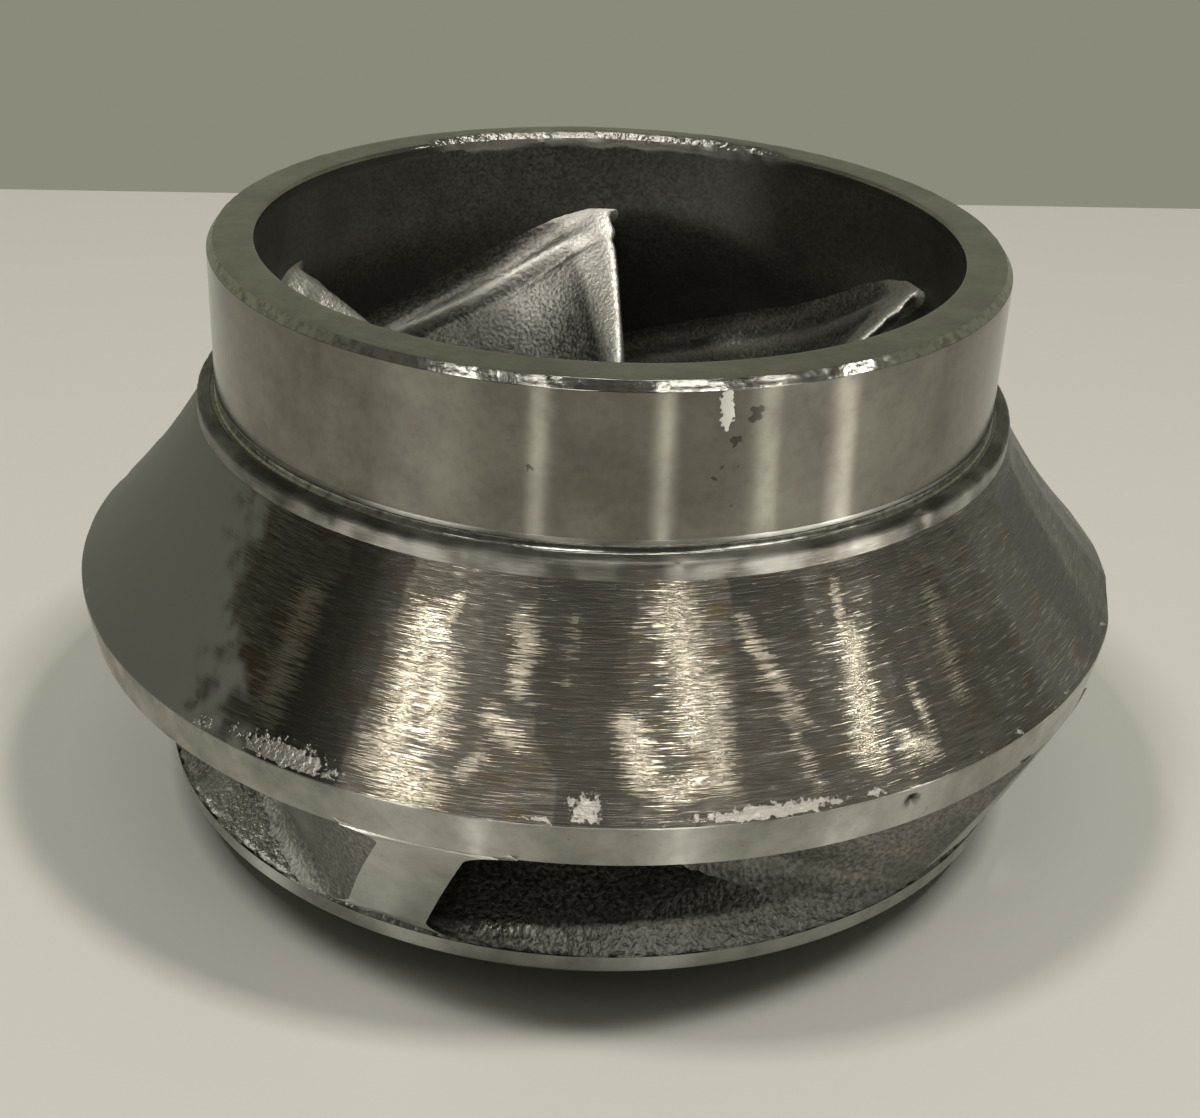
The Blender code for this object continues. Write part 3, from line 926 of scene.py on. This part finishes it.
def turned_steel():
    """Turned stainless steel: fine lathe rings that draw each light out into an upright streak."""
    mat, tree, shader, mm = new_metal("turned_stainless_steel", 1.0)

    # Real lathe rings are about 0.1 mm apart. They are drawn 0.3 mm apart, so that they show.
    rings = marks_around(tree, ring_space(tree, mm), 60.0, 0.30)

    # Clouds of 11 mm, smears of 1.7 mm and cast grains of 0.9 mm
    clouds = node(tree, "TexNoise", {"Vector": mm, "Scale": 0.09, "Detail": 5.0, "Roughness": 0.6})
    smears = node(tree, "TexNoise", {"Vector": mm, "Scale": 0.6, "Detail": 4.0, "Roughness": 0.65})
    grains = node(tree, "TexNoise", {"Vector": mm, "Scale": 1.1, "Detail": 2.0})
    rough, land = [node(tree, "Attribute", out="Fac", attribute_name=name) for name in ("rough", "land")]
    chip = node(tree, "MapRange", {"Value": spots(tree, mm, CHIP), "From Min": 1.05, "From Max": 0.95})
    colour = layered_colour(tree, "#ABA9A0", [
        (clouds, 0.38, 0.66, 1.0, "#928F88"),
        (smears, 0.45, 0.75, 0.35, "#77746C"),
        # Painted shade: the wear land is darkened all over for the dim room that it mirrors
        (land, 0.0, 1.0, 1.0, "#C9C8C4", "MULTIPLY"),
        (chip, 0.0, 1.0, 1.0, "#D6D4CC"),
        (spots(tree, mm, STAINS), 1.08, 0.92, 0.75, "#3F3D38"),
        (rough, 0.0, 1.0, 1.0, "#A6A49D"),
    ])
    satin = node(tree, "MapRange",
                 {"Value": smears, "From Min": 0.3, "From Max": 0.75, "To Min": 0.12, "To Max": 0.15})
    for mask, dull in ((rough, 0.22), (chip, 0.25)):
        satin = node(tree, "Math", {0: mask, 1: dull, 2: satin}, operation="MULTIPLY_ADD")
    uneven = node(tree, "Math", {0: rough, 1: grains}, operation="MULTIPLY")
    lay_finish(tree, shader, colour, satin, [(rings, 1.0, 0.03), (uneven, 0.9, 0.4)])
    return mat


def filed_steel():
    """Stainless steel edge broken with a file: nearly a mirror, with small dents along it."""
    mat, tree, shader, mm = new_metal("filed_stainless_steel")

    # Dents of 1.2 mm
    dents = node(tree, "TexNoise", {"Vector": mm, "Scale": 0.8, "Detail": 4.0})
    colour = layered_colour(tree, "#B9B7AE", [(dents, 0.45, 0.7, 1.0, "#85827A")])
    lay_finish(tree, shader, colour, 0.16, [(dents, 0.6, 0.08)])
    return mat


def satin_steel():
    """Stainless steel dressed with a fine disc: pale and satin, with faint clouds and small blemishes."""
    mat, tree, shader, mm = new_metal("satin_stainless_steel", 1.0)

    # Lines of the disc drawn 0.35 mm apart, coarser than real, clouds of 5 mm and specks of 1 mm
    lines = marks_around(tree, ring_space(tree, mm), 30.0, 0.35)
    clouds = node(tree, "TexNoise", {"Vector": mm, "Scale": 0.2, "Detail": 5.0, "Roughness": 0.65})
    specks = node(tree, "TexNoise", {"Vector": mm, "Scale": 0.9, "Detail": 2.0})
    pit = node(tree, "Attribute", out="Fac", attribute_name="pit")
    colour = layered_colour(tree, "#B1B0A8", [
        (clouds, 0.4, 0.68, 1.0, "#9B9992"),
        (specks, 0.68, 0.78, 0.5, "#6E675D"),
        (pit, 0.0, 1.0, 1.0, "#2E2A26"),
    ])
    satin = node(tree, "MapRange",
                 {"Value": clouds, "From Min": 0.3, "From Max": 0.7, "To Min": 0.30, "To Max": 0.42})
    lay_finish(tree, shader, colour, satin, [(lines, 0.3, 0.03)])
    return mat


def hand_ground_steel():
    """Stainless steel ground by hand with a coarse disc.

    It shows short scratches, strokes with combed edges painted paler as a painted highlight, flats
    darkened by painted shade at the front and at random behind, brown heat tint, and cast skin that
    the disc missed.
    """
    mat, tree, shader, mm = new_metal("hand_ground_stainless_steel", 0.6)

    # Scratches of a coarse disc, 0.25 and 0.13 mm apart, and bands of heat tint 4 mm apart
    rings = ring_space(tree, mm)
    coarse = marks_around(tree, rings, 3.6, 0.25, 1.0)
    fine = marks_around(tree, rings, 1.6, 0.13, -0.8)
    tint = marks_around(tree, rings, 6.0, 4.0)
    ground, flat, skin, pit, stroke_highlight = [node(tree, "Attribute", out="Fac", attribute_name=name)
                                      for name in ("ground", "flat", "skin", "pit", "stroke_highlight")]

    # Cast skin with a frayed edge, and grit of 0.7 mm on it
    frayed = node(tree, "TexNoise", {"Vector": mm, "Scale": 1.1, "Detail": 3.0})
    skin = node(tree, "Math", {0: frayed, 1: 1.6, 2: skin}, operation="MULTIPLY_ADD")
    skin = node(tree, "MapRange", {"Value": skin, "From Min": 1.28, "From Max": 1.42})
    grit = node(tree, "TexNoise", {"Vector": mm, "Scale": 1.4, "Detail": 2.0})
    grit = node(tree, "Math", {0: grit, 1: skin}, operation="MULTIPLY")

    # Strokes of painted highlight, paler and smoother, whose edges follow the scratches
    stroke_highlight = node(tree, "Math", {0: coarse, 1: 2.3, 2: stroke_highlight}, operation="MULTIPLY_ADD")
    stroke_highlight = node(tree, "MapRange", {"Value": stroke_highlight, "From Min": 1.40, "From Max": 1.95})
    comb = node(tree, "MapRange", {"Value": fine, "From Min": 0.36, "From Max": 0.50, "To Min": 0.25})
    stroke_highlight = node(tree, "Math", {0: stroke_highlight, 1: comb}, operation="MULTIPLY")
    lines = node(tree, "MapRange", {"Value": coarse, "From Min": 0.40, "From Max": 0.62})
    colour = layered_colour(tree, "#4B4740", [
        (lines, 0.0, 1.0, 1.0, "#7E796F"),
        (tint, 0.50, 0.68, 0.7, "#57482F"),
        # Painted shade on the front flats that mirror the dim room, and random tone on the back ones
        (flat, 0.0, 1.0, 0.85, "#3E3C37"),
        (stroke_highlight, 0.0, 1.0, 1.0, "#ABA392"),
        (ground, 1.0, 0.0, 1.0, "#8F8E88"),
        (skin, 0.0, 1.0, 1.0, "#A8A49C"),
        (pit, 0.0, 1.0, 1.0, "#332E28"),
    ])
    gloss = node(tree, "Math", {0: lines, 1: -0.06, 2: 0.34}, operation="MULTIPLY_ADD")
    gloss = node(tree, "Math", {0: stroke_highlight, 1: -0.17, 2: gloss}, operation="MULTIPLY_ADD")
    rough = node(tree, "Mix", {0: ground, 2: 0.56, 3: gloss})
    rough = node(tree, "Mix", {0: skin, 2: rough, 3: 0.42})
    deep = node(tree, "Math", {0: lines, 1: ground}, operation="MULTIPLY")
    lay_finish(tree, shader, colour, rough, [(deep, 1.0, 0.02), (fine, 0.8, 0.02), (grit, 0.6, 0.3)])
    return mat


def cast_steel():
    """As-cast stainless steel, blasted after casting: dark, granular skin that glints on high points."""
    mat, tree, shader, mm = new_metal("cast_stainless_steel")

    # Grains drawn 0.7 mm wide, coarser than real sand, and patches of 11 mm
    grains = node(tree, "TexNoise", {"Vector": mm, "Scale": 1.5, "Detail": 2.0})
    patches = node(tree, "TexNoise", {"Vector": mm, "Scale": 0.09, "Detail": 4.0})
    grain, edge, bead, dressed = [node(tree, "Attribute", out="Fac", attribute_name=name)
                                  for name in ("grain", "edge", "bead", "dressed")]
    # Paler on the vane noses, the beads and the dressed floor marks: partly wear and dressing, partly
    # painted highlight, and the floor spot is a painted glint
    wear_and_highlight = node(tree, "Math", {0: edge, 1: bead}, operation="MAXIMUM")
    wear_and_highlight = node(tree, "Math", {0: wear_and_highlight, 1: dressed}, operation="MAXIMUM")
    high = node(tree, "MapRange", {"Value": grains, "From Min": 0.35, "From Max": 0.7})
    high = node(tree, "Math", {0: high, 1: grain}, operation="MULTIPLY")
    colour = layered_colour(tree, "#64625C", [
        (high, 0.0, 1.0, 1.0, "#ABA8A0"),
        (patches, 0.4, 0.7, 0.6, "#5A5852"),
        (wear_and_highlight, 0.0, 1.0, 1.0, "#B4B1A9"),
    ])
    dull = node(tree, "MapRange",
                {"Value": grains, "From Min": 0.3, "From Max": 0.7, "To Min": 0.40, "To Max": 0.54})
    dull = node(tree, "Math", {0: dressed, 1: -0.18, 2: dull}, operation="MULTIPLY_ADD")
    raised = node(tree, "Math", {0: grains, 1: grain}, operation="MULTIPLY")
    lay_finish(tree, shader, colour, dull, [(raised, 0.7, 0.3)])
    return mat


def blasted_steel():
    """Shot-blasted stainless steel on the unmachined back: even, dull grey with a fine grain."""
    mat, tree, shader, mm = new_metal("blasted_stainless_steel")

    # Shot dents of 0.6 mm and clouds of 14 mm
    grains = node(tree, "TexNoise", {"Vector": mm, "Scale": 1.6, "Detail": 2.0})
    clouds = node(tree, "TexNoise", {"Vector": mm, "Scale": 0.07, "Detail": 3.0})
    colour = layered_colour(tree, "#8C8983", [(clouds, 0.35, 0.7, 1.0, "#6B6862")])
    dull = node(tree, "MapRange",
                {"Value": grains, "From Min": 0.3, "From Max": 0.7, "To Min": 0.48, "To Max": 0.60})
    lay_finish(tree, shader, colour, dull, [(grains, 0.5, 0.2)])
    return mat


def machined_steel():
    """Faced and bored stainless steel: clean fine rings with a soft shine."""
    mat, tree, shader, mm = new_metal("machined_stainless_steel", 0.7)

    # Rings drawn 0.4 mm apart, coarser than real, and clouds of 10 mm
    rings = marks_around(tree, ring_space(tree, mm), 80.0, 0.4)
    clouds = node(tree, "TexNoise", {"Vector": mm, "Scale": 0.1, "Detail": 3.0})
    colour = layered_colour(tree, "#B5B1A9", [(clouds, 0.35, 0.7, 1.0, "#98938A")])
    satin = node(tree, "MapRange",
                 {"Value": clouds, "From Min": 0.3, "From Max": 0.7, "To Min": 0.26, "To Max": 0.36})
    lay_finish(tree, shader, colour, satin, [(rings, 0.4, 0.04)])
    return mat


@functools.cache
def finish_list():
    """Materials in the order of the kinds of surface, made once."""
    return [turned_steel(), satin_steel(), hand_ground_steel(), cast_steel(), blasted_steel(),
            machined_steel(), filed_steel()]


# Operators


class StageSettings(bpy.types.PropertyGroup):
    floor_colour: bpy.props.FloatVectorProperty(
        name="Floor colour", description="Colour of the plain floor", subtype="COLOR",
        size=3, default=hex_colour("#D3D0C9")[:3], min=0.0, max=1.0)
    room_light: bpy.props.FloatProperty(
        name="Room light", description="Strength of the soft light from all around", default=1.0, min=0.0)
    lens: bpy.props.FloatProperty(
        name="Lens", description="Focal length of the camera in millimetres", default=55.14, min=10.0)


class FinishSettings(bpy.types.PropertyGroup):
    keyway_depth: bpy.props.FloatProperty(
        name="Keyway depth", description="Depth of the keyway beyond the bore",
        default=KEY_DEPTH * MM, min=0.0, unit="LENGTH")
    keyway_width: bpy.props.FloatProperty(
        name="Keyway width", description="Width of the keyway",
        default=KEY_WIDTH * MM, min=0.0, unit="LENGTH")


class IMPELLER_OT_eye_ring(bpy.types.Operator):
    """Build the eye ring with its turned wear land, nicked ledge and rough far edge"""

    bl_idname = "impeller.eye_ring"
    bl_label = "Eye ring"

    def execute(self, context):
        obj = turned_object("eye_ring_casting", eye_ring_outline(), eye_ring_surface)
        finish_piece(obj, "turned_stainless", "eye_ring")
        return {"FINISHED"}


class IMPELLER_OT_shroud(bpy.types.Operator):
    """Build the front shroud with its hand-ground flats and outlet band"""

    bl_idname = "impeller.shroud"
    bl_label = "Front shroud"

    def execute(self, context):
        obj = turned_object("front_shroud_casting", shroud_outline(), shroud_surface)
        finish_piece(obj, "ground_stainless", "shroud")
        return {"FINISHED"}


class IMPELLER_OT_hub(bpy.types.Operator):
    """Build the hub sleeve with its bore, keyway and boss, and the back shroud around it"""

    bl_idname = "impeller.hub"
    bl_label = "Hub and back shroud"

    def execute(self, context):
        sizes = context.scene.impeller_finish
        hub = turned_object("hub_casting", hub_outline(), hub_surface)
        cut_keyway(hub, sizes.keyway_width, sizes.keyway_depth)
        finish_piece(hub, "machined_stainless", "hub")
        back = turned_object("back_shroud_casting", back_shroud_outline(), back_shroud_surface)
        finish_piece(back, "cast_stainless", "back_shroud")
        return {"FINISHED"}


class IMPELLER_OT_vanes(bpy.types.Operator):
    """Build the wrapped vanes with their fillets and dressed outlet ends"""

    bl_idname = "impeller.vanes"
    bl_label = "Vanes"

    def execute(self, context):
        skins = finish_list()
        for number in range(VANE_COUNT):
            obj = vane_object(number, [skins[CAST], skins[SATIN]])
            finish_piece(obj, "vane_stainless", "vane_%d" % (number + 1))
        return {"FINISHED"}


class IMPELLER_OT_stage(bpy.types.Operator):
    """Lay the plain pale floor, the soft light, the small lamps and the camera"""

    bl_idname = "impeller.stage"
    bl_label = "Stage"

    def execute(self, context):
        settings = context.scene.impeller_stage
        make_floor(settings.floor_colour)
        make_room(settings.room_light)
        make_lamps()
        make_camera(settings.lens)
        context.scene.view_settings.view_transform = "Standard"
        return {"FINISHED"}


class IMPELLER_PT_panel(bpy.types.Panel):
    """Lists the settings and the steps that build the impeller"""

    bl_idname = "IMPELLER_PT_panel"
    bl_label = "Pump impeller"
    bl_space_type = "VIEW_3D"
    bl_region_type = "UI"
    bl_category = "Impeller"

    def draw(self, context):
        layout = self.layout
        for group in (context.scene.impeller_finish, context.scene.impeller_stage):
            for key in group.bl_rna.properties.keys():
                if key not in ("rna_type", "name"):
                    layout.prop(group, key)
        for operator in OPERATORS:
            layout.operator(operator.bl_idname)


def cut_keyway(hub, width, depth):
    """Cut the keyway along the bore on the +X side."""
    reach = BORE_R * MM + depth
    bm = bmesh.new()
    bmesh.ops.create_cube(bm, size=1.0)
    bmesh.ops.scale(bm, vec=Vector((reach, width, 3.0 * HEIGHT * MM)), verts=bm.verts)
    bmesh.ops.translate(bm, vec=Vector((reach / 2.0, 0.0, 0.0)), verts=bm.verts)
    mesh = bpy.data.meshes.new("keyway_cutter")
    bm.to_mesh(mesh)
    bm.free()
    mesh.materials.append(finish_list()[MACHINED])
    cutter = bpy.data.objects.new("keyway_cutter", mesh)
    bpy.context.scene.collection.objects.link(cutter)
    cut = hub.modifiers.new("keyway", "BOOLEAN")
    cut.operation = "DIFFERENCE"
    cut.solver = "EXACT"
    cut.object = cutter
    bpy.context.view_layer.update()
    graph = bpy.context.evaluated_depsgraph_get()
    done = bpy.data.meshes.new_from_object(hub.evaluated_get(graph))
    hub.modifiers.clear()
    hub.data = done
    bpy.data.objects.remove(cutter)


# Stage

# Floor in metres: half its width, how far behind the middle its back edge lies, and that edge's slant
FLOOR_HALF = 3.0
FLOOR_EDGE_Y = 0.3124
FLOOR_EDGE_SLOPE = 0.0925

# Colours of the room around the floor
FRONT = "#33322E"
SIDES = "#5E5D57"
BACK_WALL = "#8A8B7A"
CEILING = "#55544F"
UNDER_FLOOR = "#BDBAB2"

# Camera at the photograph's angle: 0.27 m in front, 0.18 m up, looking down 28 degrees
CAMERA_PLACE = (0.0, -0.26838, 0.17601)
CAMERA_TURN_DEG = (62.0366, -2.2478, 1.0814)


def make_floor(colour):
    """Plain pale floor that ends in a slightly turned edge behind the impeller."""
    near = [(-FLOOR_HALF, -FLOOR_HALF, 0.0), (FLOOR_HALF, -FLOOR_HALF, 0.0)]
    far = [(x, FLOOR_EDGE_Y + FLOOR_EDGE_SLOPE * x, 0.0) for x in (FLOOR_HALF, -FLOOR_HALF)]
    mesh = bpy.data.meshes.new("floor")
    mesh.from_pydata(near + far, [], [(0, 1, 2, 3)])
    mat = bpy.data.materials.new("pale_table_top")
    mat.use_nodes = True
    shader = mat.node_tree.nodes["Principled BSDF"]
    shader.inputs["Base Color"].default_value = (*colour, 1.0)
    shader.inputs["Roughness"].default_value = 0.38
    mesh.materials.append(mat)
    floor = bpy.data.objects.new("floor", mesh)
    bpy.context.scene.collection.objects.link(floor)


def make_room(strength):
    """Plain room: a grey-green wall behind, dim in front, a soft ceiling, and pale below the floor."""
    world = bpy.data.worlds.new("soft_room")
    bpy.context.scene.world = world
    world.use_nodes = True
    tree = world.node_tree
    background = tree.nodes["Background"]
    way = node(tree, "TexCoord", out="Generated")
    across, ahead, up = [node(tree, "SeparateXYZ", {0: way}, out=axis) for axis in range(3)]
    side = node(tree, "Math", {0: across}, operation="ABSOLUTE")
    tone = layered_colour(tree, FRONT, [
        (side, 0.25, 0.8, 1.0, SIDES),
        (ahead, -0.35, 0.25, 1.0, BACK_WALL),
        (up, 0.45, 0.95, 1.0, CEILING),
        (up, -0.36, -0.50, 1.0, UNDER_FLOOR),
    ])
    tree.links.new(tone, background.inputs["Color"])
    background.inputs["Strength"].default_value = strength


# Small lamps stand in for what polished metal mirrors in the room. Each group lights only its own
# pieces. Only the casting blocks them, so the floor doesn't hide the ones below its level, which are
# there because the wear land and the band mirror low directions. A row gives azimuth and height angle
# in degrees, width in metres and power in watts.
EYE_RING = ["eye_ring_casting"]
CONE = ["front_shroud_casting"]
INSIDES = ["hub_casting", "back_shroud_casting"]
VANES = ["vane_casting_%d" % (k + 1) for k in range(VANE_COUNT)]
CASTING = EYE_RING + CONE + INSIDES + VANES
LAMPS = {
    # Upright streaks on the wear land
    "streak_lamp": (EYE_RING, [
        (-106.9, -22.0, 0.012, 0.85),
        (-73.0, -22.0, 0.012, 0.95),
        (-63.9, -22.0, 0.05, 0.25),
        (-44.5, -22.0, 0.012, 3.0),
        (-21.2, -22.0, 0.012, 4.8),
    ]),
    # Faint streaks on the outlet band
    "band_lamp": (CONE, [
        (-115.6, -45.0, 0.03, 0.5),
        (-67.6, -45.0, 0.03, 0.4),
        (-26.7, -45.0, 0.03, 0.4),
    ]),
    # Broad pale zones between the streaks
    "low_lamp": (EYE_RING, [
        (-139.0, -22.0, 0.60, 22.0),
        (-30.0, -22.0, 0.90, 60.0),
        (0.0, -22.0, 0.60, 18.0),
        (-168.0, -22.0, 0.60, 2.6),
    ]),
    # Glints on the chamfer and the rough strip
    "high_lamp": (EYE_RING, [
        (-133.0, 42.5, 0.12, 0.50),
        (-110.6, 46.0, 0.05, 0.20),
        (-69.5, 46.0, 0.06, 0.35),
        (-58.3, 44.0, 0.10, 0.45),
        (-38.0, 40.0, 0.05, 0.20),
        (-13.0, 33.0, 0.08, 0.40),
        (-45.0, 24.0, 0.60, 3.00),
        (-100.0, 27.0, 0.30, 4.00),
    ]),
    # Shine of the grinder's strokes
    "cone_lamp": (CONE, [
        (-131.0, 37.0, 0.24, 4.6),
        (-108.0, 40.0, 0.16, 1.9),
        (-69.0, 40.5, 0.24, 4.4),
        (-37.0, 34.0, 0.16, 1.6),
        (-19.0, 29.0, 0.20, 3.6),
        (25.0, 22.0, 0.80, 2.6),
        (-165.0, -25.0, 0.30, 0.60),
    ]),
    # Light that reaches into the eye
    "vane_lamp": (VANES, [
        (-140.0, 38.0, 0.30, 9.0),
        (-100.0, 26.0, 0.25, 3.0),
    ]),
    # Light that reaches into the passages
    "side_lamp": (INSIDES + VANES, [
        (-69.0, 52.0, 0.06, 3.0),
        (-20.0, 32.0, 0.12, 1.0),
        (-70.0, -15.0, 0.30, 0.8),
        (-130.0, -15.0, 0.30, 1.5),
        (-170.0, 8.0, 0.30, 3.2),
    ]),
    # Soft shadow on the floor
    "floor_lamp": (["floor"], [
        (-20.0, 66.0, 0.22, 11.0),
        (-160.0, 66.0, 0.22, 8.5),
        (-90.0, 74.0, 0.50, 1.5),
    ]),
    # Even light from overhead
    "wide_lamp": (CASTING, [
        (20.0, 85.0, 0.55, 12.3),
    ]),
}

# The lamps that draw streaks are tall, and all others are square. Lengths are in metres.
TALL_LAMPS = ("streak_lamp", "band_lamp")
TALL_LAMP_HEIGHT = 0.30
LAMP_DISTANCE = 1.5
LAMP_AIM_HEIGHT = 0.06
LAMP_COLOUR = "#FFFDF7"


def add_lamp(name, azimuth, elevation, width, height, power):
    """Flat lamp that faces the impeller, at the distance that all lamps share."""
    data = bpy.data.lights.new(name, "AREA")
    data.shape = "RECTANGLE"
    data.size = width
    data.size_y = height
    data.energy = power
    data.color = hex_colour(LAMP_COLOUR)[:3]
    lamp = bpy.data.objects.new(name, data)
    a, e = math.radians(azimuth), math.radians(elevation)
    way = Vector((math.cos(a) * math.cos(e), math.sin(a) * math.cos(e), math.sin(e)))
    lamp.location = Vector((0.0, 0.0, LAMP_AIM_HEIGHT)) + way * LAMP_DISTANCE
    lamp.rotation_mode = "QUATERNION"
    lamp.rotation_quaternion = way.to_track_quat("Z", "Y")
    bpy.context.scene.collection.objects.link(lamp)
    return lamp


def named_collection(name, members):
    """Collection of the named objects, for the lamps that light only some pieces."""
    group = bpy.data.collections.new(name)
    for member in members:
        group.objects.link(bpy.data.objects[member])
    return group


def make_lamps():
    """Lamps by groups, each group for its own pieces, with shadows from the casting alone."""
    shading = named_collection("casts_lamp_shadows", CASTING)
    for label, (pieces, rows) in LAMPS.items():
        lit = named_collection("lit_by_" + label, pieces)
        for k, (azimuth, elevation, width, power) in enumerate(rows):
            height = TALL_LAMP_HEIGHT if label in TALL_LAMPS else width
            lamp = add_lamp("%s_%d" % (label, k + 1), azimuth, elevation, width, height, power)
            lamp.light_linking.receiver_collection = lit
            lamp.light_linking.blocker_collection = shading


def make_camera(lens):
    """Camera at the photograph's place and angle."""
    data = bpy.data.cameras.new("camera")
    data.lens = lens
    data.sensor_width = 36.0
    data.sensor_fit = "HORIZONTAL"
    data.clip_start = 0.01
    camera = bpy.data.objects.new("camera", data)
    camera.location = CAMERA_PLACE
    camera.rotation_euler = [math.radians(a) for a in CAMERA_TURN_DEG]
    bpy.context.scene.collection.objects.link(camera)
    bpy.context.scene.camera = camera


OPERATORS = (IMPELLER_OT_eye_ring, IMPELLER_OT_shroud, IMPELLER_OT_hub, IMPELLER_OT_vanes,
             IMPELLER_OT_stage)
CLASSES = (StageSettings, FinishSettings, *OPERATORS, IMPELLER_PT_panel)


def register():
    """Add the settings, the steps and the panel to Blender."""
    for cls in CLASSES:
        bpy.utils.register_class(cls)
    bpy.types.Scene.impeller_stage = bpy.props.PointerProperty(type=StageSettings)
    bpy.types.Scene.impeller_finish = bpy.props.PointerProperty(type=FinishSettings)


def unregister():
    """Take them out again, in the opposite order."""
    del bpy.types.Scene.impeller_finish
    del bpy.types.Scene.impeller_stage
    for cls in reversed(CLASSES):
        bpy.utils.unregister_class(cls)


def main():
    """Build every piece and the stage."""
    register()
    bpy.ops.impeller.eye_ring()
    bpy.ops.impeller.shroud()
    bpy.ops.impeller.hub()
    bpy.ops.impeller.vanes()
    bpy.ops.impeller.stage()


if __name__ == "__main__":
    main()
